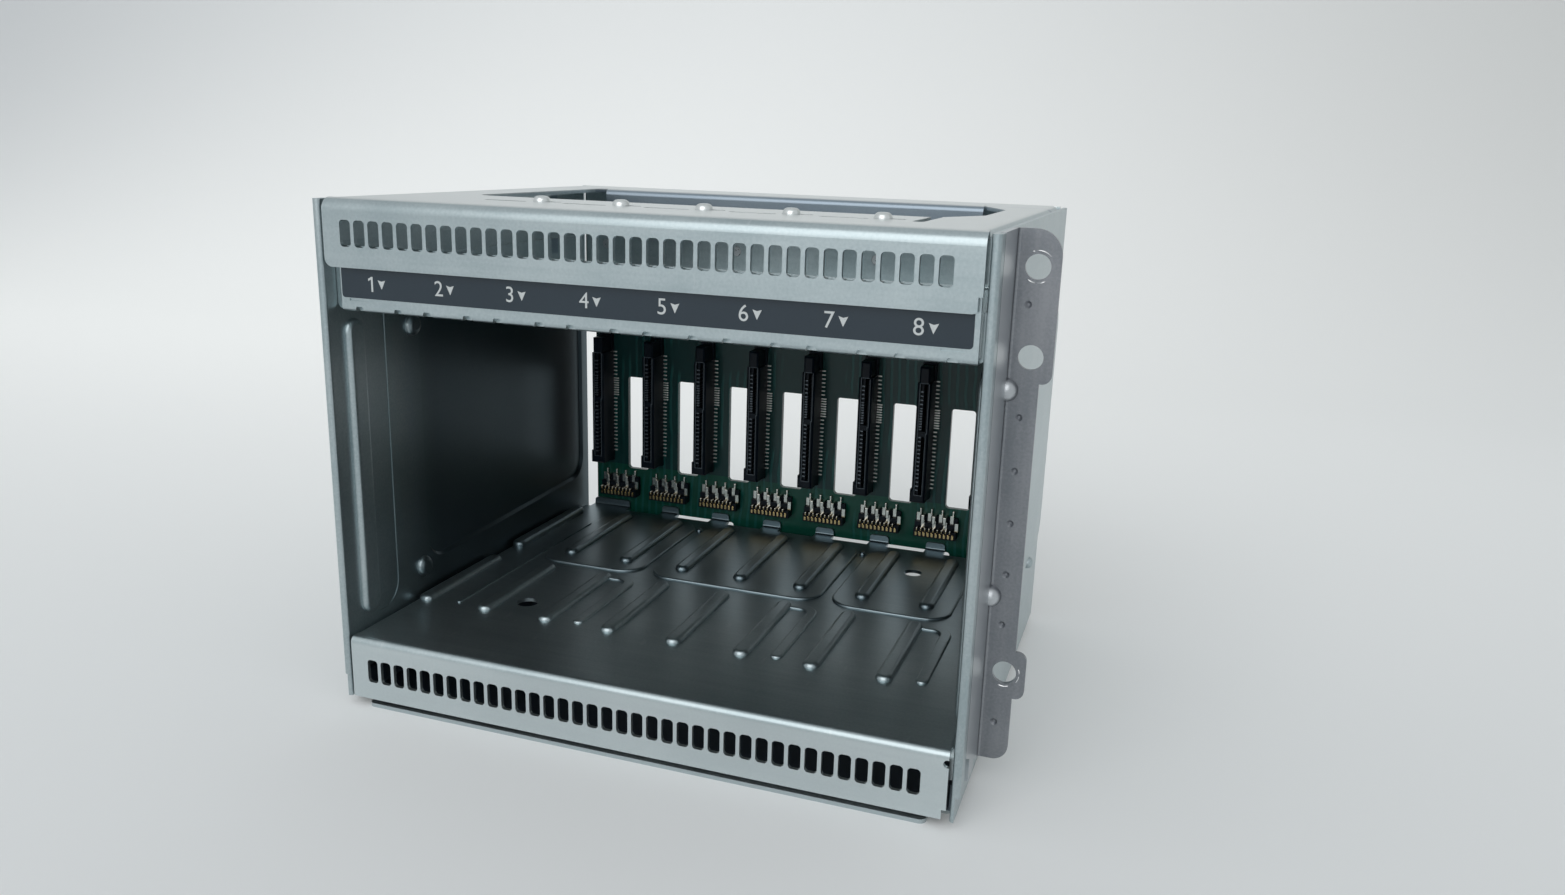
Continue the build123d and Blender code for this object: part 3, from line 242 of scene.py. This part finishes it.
wall_shade = wall_shade * wall_zinc.along("Y").between(WALL_SHADE_START, WALL_SHADE_FULL)
wall_shade = wall_shade * (1 - wall_zinc.along("Z").between(BAYS_HEAD, BAYS_HEAD + 2 * FADE))
wall_colour = wall_zinc.blend(wall_tone, *WALL_TONES)
# Painted shade on the inside faces, deep in the bays.
wall_zinc.set("Base Color", wall_zinc.blend(wall_shade * 0.88, wall_colour, WALL_SHADE_TONE))
wall_zinc.set("Roughness", 0.27 + wall_clouds * 0.07 + wall_mottle * 0.05)
wall_zinc.bump(wall_mottle, WALL_GRAIN_DEPTH)
dress(wall_zinc, "left_side_wall", "right_side_wall")

# Mounting ear: a bracket of harder steel, spot-welded to the right wall. Its plating is dark, and
# the leg along the wall is painted lighter as a painted reflection. The punch that flanged the holes
# left short bright burrs around them.
EAR_FACE = -40.6 * MM
LEG_START, LEG_FULL = EAR_FACE - 0.5 * MM, EAR_FACE - 2.0 * MM      # painted reflection on the leg, fading in forwards
EAR_TONES = ((0.22, 0.235, 0.255), (0.30, 0.31, 0.33))
EAR_LEG_REFLECTION = (0.60, 0.63, 0.65)
EAR_GRAIN_DEPTH = 0.01 * MM
ear_plating = Finish("dark_plated_steel", Metallic=0.9)
ear_clouds = ear_plating.noise(70, 4.0)
ear_grain = ear_plating.noise(1600, 3.0)
ear_lines = ear_plating.noise(600, 2.0, stretch=(1.0, 1.0, 0.06))
ear_tone = (ear_clouds * 0.4 + ear_grain * 0.35 + ear_lines * 0.25).between(0.34, 0.66)
leg_reflection = 1 - ear_plating.along("Y").between(LEG_FULL, LEG_START)
ear_plain = ear_plating.blend(ear_tone, *EAR_TONES)
# Painted reflection lightens the leg along the wall.
ear_plating.set("Base Color", ear_plating.blend(leg_reflection * 0.75, ear_plain, EAR_LEG_REFLECTION))
ear_plating.set("Roughness", 0.26 + ear_clouds * 0.08 + ear_grain * 0.06)
ear_plating.bump(ear_grain * 0.7 + ear_lines * 0.3, EAR_GRAIN_DEPTH)
dress(ear_plating, "mounting_ear")


def mesh_object(name, vertices, faces, finish, smooth=False):
    """An object made from corner points and faces."""
    mesh = bpy.data.meshes.new(name)
    mesh.from_pydata(vertices, [], faces)
    mesh.update()
    if smooth:
        for polygon in mesh.polygons:
            polygon.use_smooth = True
    mesh.materials.append(finish.material)
    made = bpy.data.objects.new(name, mesh)
    bpy.context.collection.objects.link(made)
    return made


def mesh_piece(name, vertices, faces, finish, smooth=False):
    """A piece made from corner points and faces, which rides on the cage."""
    piece = mesh_object(name, vertices, faces, finish, smooth)
    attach(piece, "root")
    return piece


BURR_TONES = ((0.60, 0.61, 0.62), (0.90, 0.90, 0.90))
HOLE_X = 82.2 * MM
BURR_RADIUS = 3.25 * MM
BURR_WIDTH = 0.5 * MM
BURR_RISE = 0.26 * MM
BURR_SINK = 0.06 * MM
BURR_STEPS = 14
BURR_WAVES = 5              # of its ragged crest, around a hole
BURR_ARCS = (               # level of the hole in mm, and the burr's start and end in degrees
    (116.7, 42, 100), (116.7, 104, 118), (116.7, 232, 262), (116.7, 268, 300),
    (27.9, -38, -8), (27.9, 2, 24), (27.9, 248, 290),
)
burr_metal = Finish("bright_burr", Metallic=1.0, Roughness=0.16)
burr_metal.set("Base Color", burr_metal.blend(burr_metal.noise(2500, 3.0), *BURR_TONES))
burr_points, burr_faces = [], []
for level, start, end in BURR_ARCS:
    first = len(burr_points)
    for step in range(BURR_STEPS + 1):
        angle = math.radians(start + (end - start) * step / BURR_STEPS)
        swell = math.sin(math.pi * step / BURR_STEPS) ** 0.5
        swell *= 0.8 + 0.2 * math.sin(BURR_WAVES * angle)
        crest = BURR_RISE * swell
        for side, rise in ((-0.5, -BURR_SINK), (-0.2, crest), (0.2, crest), (0.5, -BURR_SINK)):
            reach = BURR_RADIUS + side * BURR_WIDTH * (0.3 + 0.7 * swell)
            burr_points.append((HOLE_X + reach * math.cos(angle), EAR_FACE - rise,
                                level * MM + reach * math.sin(angle)))
    for step in range(BURR_STEPS):
        row = first + 4 * step
        for side in range(3):
            burr_faces.append((row + side, row + side + 4, row + side + 5, row + side + 1))
mesh_piece("ear_burrs", burr_points, burr_faces, burr_metal, smooth=True)

# Label: dark printed film stuck to the strip, with plain bay numbers and arrowheads
# that point down at the bays. The print is pale ink, slightly worn.
FILM_TONES = ((0.010, 0.021, 0.032), (0.019, 0.034, 0.048))
film = Finish("label_film", Roughness=0.42)
film_grain = film.noise(2600, 3.0)
film_clouds = film.noise(90, 3.0)
film.set("Base Color", film.blend(film_grain * 0.6 + film_clouds * 0.4, *FILM_TONES))
film.bump(film_grain, GRAIN_DEPTH)
dress(film, "bay_number_label")

INK_TONES = ((0.50, 0.53, 0.53), (0.58, 0.61, 0.61))
INK_WORN = (0.22, 0.24, 0.26)
print_ink = Finish("label_print", Roughness=0.5)
print_wear = print_ink.noise(1800, 4.0).between(0.60, 0.75)
ink_colour = print_ink.blend(print_ink.noise(2500), *INK_TONES)
print_ink.set("Base Color", print_ink.blend(print_wear * 0.5, ink_colour, INK_WORN))
BAY_COUNT = 8
BAY_PITCH = 18.1 * MM
DIGIT_HEIGHT = 3.4 * MM
CAP_HEIGHT = 0.7            # of a digit of size 1
DIGIT_LEVEL = 105.6 * MM
DIGIT_SHIFT = -0.5 * MM
ARROW_SHIFT = 2.45 * MM
ARROW_WIDTH = 2.0 * MM
ARROW_HEIGHT = 2.1 * MM
ARROW_DENT = 0.3 * MM
PRINT_LIFT = 0.02 * MM
ONE_OUTLINE = (             # corners of the 1 around its middle, in mm
    (0.62, -1.7), (0.62, 1.7), (0.22, 1.7), (-0.62, 1.18), (-0.62, 0.68), (0.12, 1.08), (0.12, -1.7),
)
bays = [(index - (BAY_COUNT - 1) / 2) * BAY_PITCH for index in range(BAY_COUNT)]
label_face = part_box("bay_number_label")[0][1] - PRINT_LIFT
for number, bay in enumerate(bays[1:], 2):
    text = bpy.data.curves.new(f"bay_number_{number}", "FONT")
    text.body = str(number)
    text.align_x = "CENTER"
    text.align_y = "CENTER"
    text.size = DIGIT_HEIGHT / CAP_HEIGHT
    digit = bpy.data.objects.new(f"bay_number_{number}", text)
    bpy.context.collection.objects.link(digit)
    digit.matrix_world = (Matrix.Translation((bay + DIGIT_SHIFT, label_face, DIGIT_LEVEL))
                          @ Matrix.Rotation(math.radians(90), 4, "X"))
    text.materials.append(print_ink.material)
    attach(digit, "root")
one_points = [(bays[0] + DIGIT_SHIFT + x * MM, label_face, DIGIT_LEVEL + z * MM) for x, z in ONE_OUTLINE]
mesh_piece("bay_number_1", one_points, [list(range(len(one_points)))[::-1]], print_ink)
arrow_points, arrow_faces = [], []
for bay in bays:
    middle, first = bay + ARROW_SHIFT, len(arrow_points)
    top, foot = DIGIT_LEVEL + ARROW_HEIGHT / 2, DIGIT_LEVEL - ARROW_HEIGHT / 2
    arrow_points += [
        (middle - ARROW_WIDTH / 2, label_face, top), (middle, label_face, foot),
        (middle + ARROW_WIDTH / 2, label_face, top), (middle, label_face, top - ARROW_DENT),
    ]
    arrow_faces += [(first, first + 1, first + 3), (first + 3, first + 1, first + 2)]
mesh_piece("bay_arrows", arrow_points, arrow_faces, print_ink)

# Backplane board: glass-fibre laminate with copper traces under green solder mask. It is nearly
# black where the mask lies on bare laminate, and greener over the solid copper above the windows
# and below them.
TRACE_STEP = 1.3 * MM       # half the pitch of the traces
BAND_SCALE = 0.16           # scale of a wave times half the pitch of its bands
UPPER_COPPER = 79.0 * MM
LOWER_COPPER = 33.0 * MM
COPPER_EDGE = 0.3 * MM
BARE_TONES = ((0.003, 0.026, 0.026), (0.004, 0.042, 0.040))
UPPER_TONES = ((0.006, 0.062, 0.062), (0.010, 0.088, 0.084))
LOWER_TONES = ((0.002, 0.055, 0.034), (0.004, 0.085, 0.052))
TRACE_TONE = (0.014, 0.12, 0.11)
FIBRE_TONE = (0.012, 0.09, 0.08)
TRACE_DEPTH = 0.03 * MM
mask = Finish("green_solder_mask", Roughness=0.26, Specular_IOR_Level=0.32)
trace_lines = mask.node("ShaderNodeTexWave", {"wave_type": "BANDS", "bands_direction": "X"},
                        {"Vector": mask.place, "Scale": BAND_SCALE / TRACE_STEP, "Distortion": 5.0,
                         "Detail": 2.0, "Detail Scale": 0.35})
traced_fields = mask.noise(42, 1.0).between(0.46, 0.54)
traces = trace_lines.between(0.72, 0.80) * traced_fields
board_level = mask.along("Z")
above_windows = board_level.between(UPPER_COPPER, UPPER_COPPER + COPPER_EDGE)
below_windows = 1 - board_level.between(LOWER_COPPER - COPPER_EDGE, LOWER_COPPER)
mask_clouds = mask.noise(120, 3.0)
mask_fibre = mask.node("ShaderNodeTexWave", {"wave_type": "BANDS", "bands_direction": "DIAGONAL"},
                       {"Vector": mask.place, "Scale": 900.0, "Distortion": 2.0, "Detail": 1.0})
mask_colour = mask.blend(mask_clouds, *BARE_TONES)
mask_colour = mask.blend(above_windows * 0.9, mask_colour, mask.blend(mask_clouds, *UPPER_TONES))
mask_colour = mask.blend(below_windows * 0.9, mask_colour, mask.blend(mask_clouds, *LOWER_TONES))
mask_colour = mask.blend(traces * 0.5, mask_colour, TRACE_TONE)
mask.set("Base Color", mask.blend(mask_fibre * 0.08, mask_colour, FIBRE_TONE))
mask.bump(traces * 0.7 + mask_fibre * 0.15 + mask_clouds * 0.15, TRACE_DEPTH)
dress(mask, "backplane_board")
board_low, board_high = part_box("backplane_board")


# Drive connectors: tall housings moulded in black plastic and pressed onto the board. Each
# mouth has a rim with a jog in its right side, where the wide and the narrow part meet.
def block_piece(name, groups, finish, rounding):
    """A piece made of blocks. Each group holds the middles of blocks of one size, and that size."""
    vertices, faces = [], []
    for places, (width, depth, height) in groups:
        for across, along, level in places:
            first = len(vertices)
            for x in (-width / 2, width / 2):
                for y in (-depth / 2, depth / 2):
                    for z in (-height / 2, height / 2):
                        vertices.append((across + x, along + y, level + z))
            for quad in ((0, 1, 3, 2), (4, 6, 7, 5), (0, 4, 5, 1), (2, 3, 7, 6), (0, 2, 6, 4), (1, 5, 7, 3)):
                faces.append([first + corner for corner in quad])
    piece = mesh_piece(name, vertices, faces, finish)
    if rounding:
        bevel = piece.modifiers.new("rounded_edges", "BEVEL")
        bevel.width = rounding
        bevel.segments = 2


MOULDING_TONES = ((0.0016, 0.0048, 0.0095), (0.0035, 0.0085, 0.016))
MOULDING_GRAIN_DEPTH = 0.008 * MM
RIM_HIGHLIGHT_TONES = ((0.060, 0.080, 0.100), (0.110, 0.135, 0.155))
HOUSING_SHIFT = -4.45 * MM
MOUTH_WIDTH = 2.2 * MM
MOUTH_HEIGHT = 34.5 * MM
MOUTH_LIFT = 3.0 * MM       # above the piece's lowest point, half a millimetre under the housing
RIM = 0.22 * MM
RIM_DEPTH = 0.20 * MM
RIM_ROUNDING = 0.06 * MM
JOG = 0.35 * MM
JOG_LEVEL = 0.56            # part of the mouth below the jog
moulding = Finish("black_moulding", Roughness=0.4, Specular_IOR_Level=0.18)
moulding.set("Base Color", moulding.blend(moulding.noise(400, 3.0), *MOULDING_TONES))
moulding.bump(moulding.noise(5000, 2.0), MOULDING_GRAIN_DEPTH)
bay_numbers = range(1, BAY_COUNT + 1)
dress(moulding, *(f"drive_connector_{number}" for number in bay_numbers))
# Painted highlight: the rim is lighter than the housing and stands in for light on its lead-in.
rim_plastic = Finish("rim_painted_highlight", Roughness=0.3)
rim_plastic.set("Base Color", rim_plastic.blend(rim_plastic.noise(900, 3.0), *RIM_HIGHLIGHT_TONES))
rim_reach = (MOUTH_WIDTH + RIM) / 2
for number, bay in zip(bay_numbers, bays):
    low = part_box(f"drive_connector_{number}")[0]
    middle, face = bay + HOUSING_SHIFT, low[1]
    foot = low[2] + MOUTH_LIFT
    head, waist = foot + MOUTH_HEIGHT, foot + MOUTH_HEIGHT * JOG_LEVEL
    block_piece(f"mouth_rim_{number}", (
        ([(middle + rim_reach, face, (foot + waist) / 2)], (RIM, RIM_DEPTH, waist - foot)),
        ([(middle + rim_reach + JOG, face, (waist + head) / 2)], (RIM, RIM_DEPTH, head - waist)),
        ([(middle + rim_reach + JOG / 2, face, waist)], (RIM + JOG, RIM_DEPTH, RIM)),
        ([(middle, face, foot - RIM / 2), (middle, face, head + RIM / 2)],
         (MOUTH_WIDTH + 2 * RIM, RIM_DEPTH, RIM)),
        ([(middle - rim_reach, face, (foot + head) / 2)], (RIM, RIM_DEPTH, MOUTH_HEIGHT)),
    ), rim_plastic, RIM_ROUNDING)

# Contacts of the drive connectors: tinned copper alloy. The tails leave each housing at
# its right and are soldered down, and the spring ends show as fine ribs in the mouth.
TIN_TONES = ((0.86, 0.83, 0.76), (0.98, 0.97, 0.94))
SPRING_TONES = ((0.10, 0.12, 0.14), (0.20, 0.22, 0.24))
COARSE, FINE = 1.27 * MM, 0.8 * MM
CONTACT_PITCHES = (COARSE,) * 15 + (FINE,) * 8 + (COARSE,) * 5
TONGUE_SHIFT = -0.65 * MM   # from the middle of the mouth to the middle of its tongue
SPRING_SIZE = (1.0 * MM, 3.6 * MM, 0.42 * MM)
SPRING_SETBACK = 2.2 * MM
SPRING_START = 1.4 * MM
SPRING_ROUNDING = 0.08 * MM
tinned = Finish("tinned_contact", Metallic=1.0)
tinned_spots = tinned.noise(1800, 3.0)
tinned.set("Base Color", tinned.blend(tinned_spots, *TIN_TONES))
tinned.set("Roughness", 0.30 + tinned_spots * 0.2)
dress(tinned, *(f"connector_tails_{number}" for number in bay_numbers))
spring_metal = Finish("shaded_spring_contact", Metallic=0.8)
spring_spots = spring_metal.noise(1500, 3.0)
spring_metal.set("Base Color", spring_metal.blend(spring_spots, *SPRING_TONES))
spring_metal.set("Roughness", 0.3 + spring_spots * 0.2)
for number, bay in zip(bay_numbers, bays):
    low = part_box(f"drive_connector_{number}")[0]
    level = low[2] + MOUTH_LIFT + SPRING_START
    springs = []
    for pitch in CONTACT_PITCHES:
        springs.append((bay + HOUSING_SHIFT + TONGUE_SHIFT, low[1] + SPRING_SETBACK, level))
        level += pitch
    block_piece(f"mouth_springs_{number}", [(springs, SPRING_SIZE)], spring_metal,
                SPRING_ROUNDING)

# Contact blocks: staggered rows of stamped pins in a low black block under each housing.
# The upper pins are tinned and bright, and the lower ones are gold-flashed.
GOLD_LEVEL = 25.6 * MM
GOLD_FADE = 0.4 * MM
PIN_GOLD_TONES = ((0.34, 0.24, 0.11), (0.70, 0.52, 0.26))
PIN_TIN_TONES = ((0.40, 0.38, 0.33), (0.82, 0.80, 0.74))
BLOCK_SHIFT = 0.6 * MM      # from the middle of a bay
PIN_ROUNDING = 0.16 * MM
PIN_ROWS = (                # places across, height and size of each row of extra pins, in mm
    ((-5.1, -1.7, 1.7, 5.1), 30.0, (0.62, 1.5, 2.3)),
    ((-4.0, -0.6, 2.8), 28.2, (1.05, 3.4, 2.5)),
    ((-5.4, -4.1, -2.8, -1.5, -0.2, 1.1, 2.4, 3.7, 5.0), 25.4, (0.5, 5.2, 1.1)),
    ((-4.8, -3.5, -2.2, -0.9, 0.4, 1.7, 3.0, 4.3, 5.6), 23.9, (0.5, 4.4, 1.1)),
)
dress(moulding, *(f"contact_block_{number}" for number in bay_numbers))
pin_plating = Finish("pin_plating", Metallic=1.0)
pin_spots = pin_plating.noise(1400, 3.0)
pin_upper = pin_plating.along("Z").between(GOLD_LEVEL - GOLD_FADE, GOLD_LEVEL + GOLD_FADE)
pin_gold = pin_plating.blend(pin_spots, *PIN_GOLD_TONES)
pin_tin = pin_plating.blend(pin_spots, *PIN_TIN_TONES)
pin_plating.set("Base Color", pin_plating.blend(pin_upper, pin_gold, pin_tin))
pin_plating.set("Roughness", 0.14 + pin_spots * 0.16)
dress(pin_plating, *(f"contact_fingers_{number}" for number in bay_numbers))
for number, bay in zip(bay_numbers, bays):
    groups = []
    for across, level, size in PIN_ROWS:
        middle = board_low[1] - size[1] * MM / 2
        pins = [(bay + BLOCK_SHIFT + place * MM, middle, level * MM) for place in across]
        groups.append((pins, [side * MM for side in size]))
    block_piece(f"block_pins_{number}", groups, pin_plating, PIN_ROUNDING)

# Soldered parts at the rear of the board: moulded chips with their leads, ceramic capacitors,
# and the joints of the contact blocks, where their pins come through the board.
CERAMIC_TONES = ((0.24, 0.15, 0.08), (0.34, 0.22, 0.12))
SOLDER_TONES = ((0.55, 0.56, 0.56), (0.80, 0.80, 0.79))
JOINT_COUNT, JOINT_PITCH = 10, 1.27 * MM
JOINT_LEVELS = (24.4 * MM, 26.9 * MM)
JOINT_SIZE = (0.85 * MM, 0.5 * MM, 0.85 * MM)
JOINT_ROUNDING = 0.22 * MM
CHIP_PLACES = (-52.0 * MM, -16.0 * MM, 20.0 * MM, 56.0 * MM)
CHIP_LEVEL = 81.0 * MM
LEAD_COUNT, LEAD_PITCH = 8, 0.8 * MM
LEAD_REACH = 4.0 * MM
LEAD_SIZE = (1.2 * MM, 0.3 * MM, 0.35 * MM)
LEAD_ROUNDING = 0.05 * MM
dress(moulding, "board_chips")
ceramic = Finish("capacitor_ceramic", Roughness=0.4)
ceramic.set("Base Color", ceramic.blend(ceramic.noise(2000), *CERAMIC_TONES))
dress(ceramic, "board_capacitors")
solder = Finish("solder_joint", Metallic=1.0)
solder_spots = solder.noise(1600, 3.0)
solder.set("Base Color", solder.blend(solder_spots, *SOLDER_TONES))
solder.set("Roughness", 0.2 + solder_spots * 0.25)
joints = [(bay + BLOCK_SHIFT + (pin - (JOINT_COUNT - 1) / 2) * JOINT_PITCH, board_high[1], level)
          for bay in bays for pin in range(JOINT_COUNT) for level in JOINT_LEVELS]
block_piece("solder_joints", [(joints, JOINT_SIZE)], solder, JOINT_ROUNDING)
leads = [(place + side * LEAD_REACH, board_high[1] + LEAD_SIZE[1] / 2,
          CHIP_LEVEL + (lead - (LEAD_COUNT - 1) / 2) * LEAD_PITCH)
         for place in CHIP_PLACES for side in (-1, 1) for lead in range(LEAD_COUNT)]
block_piece("chip_leads", [(leads, LEAD_SIZE)], solder, LEAD_ROUNDING)

# Screws and sockets at the rear of the board: four plated screws, two data sockets in bright
# shells with gold contacts on a black tongue, and a power connector and a header in nylon.
PLATED_TONES = ((0.52, 0.53, 0.54), (0.68, 0.69, 0.70))
NYLON_TONES = ((0.52, 0.49, 0.42), (0.62, 0.60, 0.53))
GOLD_TONES = ((0.62, 0.42, 0.16), (0.86, 0.62, 0.28))
EDGE_COUNT, EDGE_PITCH, EDGE_WIDTH = 22, 0.8 * MM, 0.5 * MM
EDGE_PART = 0.94            # of the tongue's length
EDGE_LIFT = 0.04 * MM
plated = Finish("bright_plating", Metallic=1.0)
plated.set("Base Color", plated.blend(plated.noise(700, 3.0), *PLATED_TONES))
plated.set("Roughness", 0.22 + plated.noise(1500) * 0.15)
dress(plated, "board_screws", "data_connector_1", "data_connector_2")
nylon = Finish("natural_nylon", Roughness=0.45)
nylon.set("Base Color", nylon.blend(nylon.noise(300, 3.0), *NYLON_TONES))
dress(nylon, "power_connector", "signal_header")
dress(moulding, "data_tongue_1", "data_tongue_2")
gold = Finish("gold_contact", Metallic=1.0)
gold_spots = gold.noise(1500, 3.0)
gold.set("Base Color", gold.blend(gold_spots, *GOLD_TONES))
gold.set("Roughness", 0.18 + gold_spots * 0.2)
for number in (1, 2):
    low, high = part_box(f"data_tongue_{number}")
    across, along, level = ((low[axis] + high[axis]) / 2 for axis in range(3))
    edges = [(across + (edge - (EDGE_COUNT - 1) / 2) * EDGE_PITCH, along, level)
             for edge in range(EDGE_COUNT)]
    edge_size = (EDGE_WIDTH, (high[1] - low[1]) * EDGE_PART, high[2] - low[2] + 2 * EDGE_LIFT)
    block_piece(f"tongue_contacts_{number}", [(edges, edge_size)], gold, 0)

# Table and room: a pale table top that sweeps up into a pale wall, with a pool of light behind
# the cage and painted shade towards the wall's right and rear. A broad lamp stands in front and
# above, and the rest of the room is a plain grey.
SWEEP_FRONT, SWEEP_START, SWEEP_RADIUS, SWEEP_TOP, SWEEP_HALF = -3.0, 0.45, 0.9, 3.2, 4.0
SWEEP_STEPS = 32
BACKDROP_TONE, BACKDROP_SHADE_TONE = (0.77, 0.785, 0.79), (0.66, 0.665, 0.65)
CORNER_X, CORNER_Y = (-0.5, 0.9), (0.2, 1.2)        # painted shade darkens the wall from the first to the second
POOL_PLACE, POOL_REACH = (-0.5, 0.5, 0.1), 1.5
POOL_Y = (-0.5, 0.4)        # and the pool fades in from the first to the second
POOL_GLOW = (0.31, 0.31, 0.295)
ROOM_COLOUR, ROOM_STRENGTH = (0.72, 0.75, 0.77, 1.0), 0.82
LAMP_PLACE, LAMP_AIM = Vector((-0.1, -1.7, 1.15)), Vector((0, 0, 0.05))
LAMP_WATTS, LAMP_SIZE = 16, 2.0
backdrop_finish = Finish("pale_backdrop", Roughness=0.8, Specular_IOR_Level=0.2, Emission_Strength=1.0)
backdrop_depth = backdrop_finish.along("Y")
backdrop_corner_shade = backdrop_finish.along("X").between(*CORNER_X) * backdrop_depth.between(*CORNER_Y)
# Painted shade darkens the wall towards its right and rear.
backdrop_finish.set("Base Color", backdrop_finish.blend(backdrop_corner_shade, BACKDROP_TONE, BACKDROP_SHADE_TONE))
pool_distance = backdrop_finish.node("ShaderNodeVectorMath", {"operation": "DISTANCE"},
                                     {0: backdrop_finish.place, 1: POOL_PLACE}, output=1)
light_pool = (1 - pool_distance.between(0.0, POOL_REACH)) * backdrop_depth.between(*POOL_Y)
seen = backdrop_finish.node("ShaderNodeLightPath", {}, {}, output="Is Camera Ray")
seen = seen + backdrop_finish.node("ShaderNodeLightPath", {}, {}, output="Is Glossy Ray")
backdrop_finish.set("Emission Color", backdrop_finish.blend(seen * light_pool, (0.0, 0.0, 0.0), POOL_GLOW))
profile = [(SWEEP_FRONT, 0.0)]
for step in range(SWEEP_STEPS + 1):
    angle = math.radians(90 * step / SWEEP_STEPS)
    profile.append((SWEEP_START + SWEEP_RADIUS * math.sin(angle), SWEEP_RADIUS * (1 - math.cos(angle))))
profile.append((SWEEP_START + SWEEP_RADIUS, SWEEP_TOP))
sweep_points = [(side * SWEEP_HALF, y, z) for y, z in profile for side in (-1, 1)]
sweep_faces = [(2 * row, 2 * row + 1, 2 * row + 3, 2 * row + 2) for row in range(len(profile) - 1)]
backdrop = mesh_object("backdrop", sweep_points, sweep_faces, backdrop_finish, smooth=True)

world = bpy.data.worlds.new("room")
bpy.context.scene.world = world
world.use_nodes = True
room = world.node_tree.nodes["Background"]
room.inputs["Color"].default_value = ROOM_COLOUR
room.inputs["Strength"].default_value = ROOM_STRENGTH
lamp_data = bpy.data.lights.new("front_lamp", "AREA")
lamp_data.energy = LAMP_WATTS
lamp_data.size = LAMP_SIZE
lamp = bpy.data.objects.new("front_lamp", lamp_data)
bpy.context.collection.objects.link(lamp)
lamp.location = LAMP_PLACE
lamp.rotation_euler = (LAMP_AIM - LAMP_PLACE).to_track_quat("-Z", "Y").to_euler()

bpy.context.scene.view_settings.view_transform = "Standard"
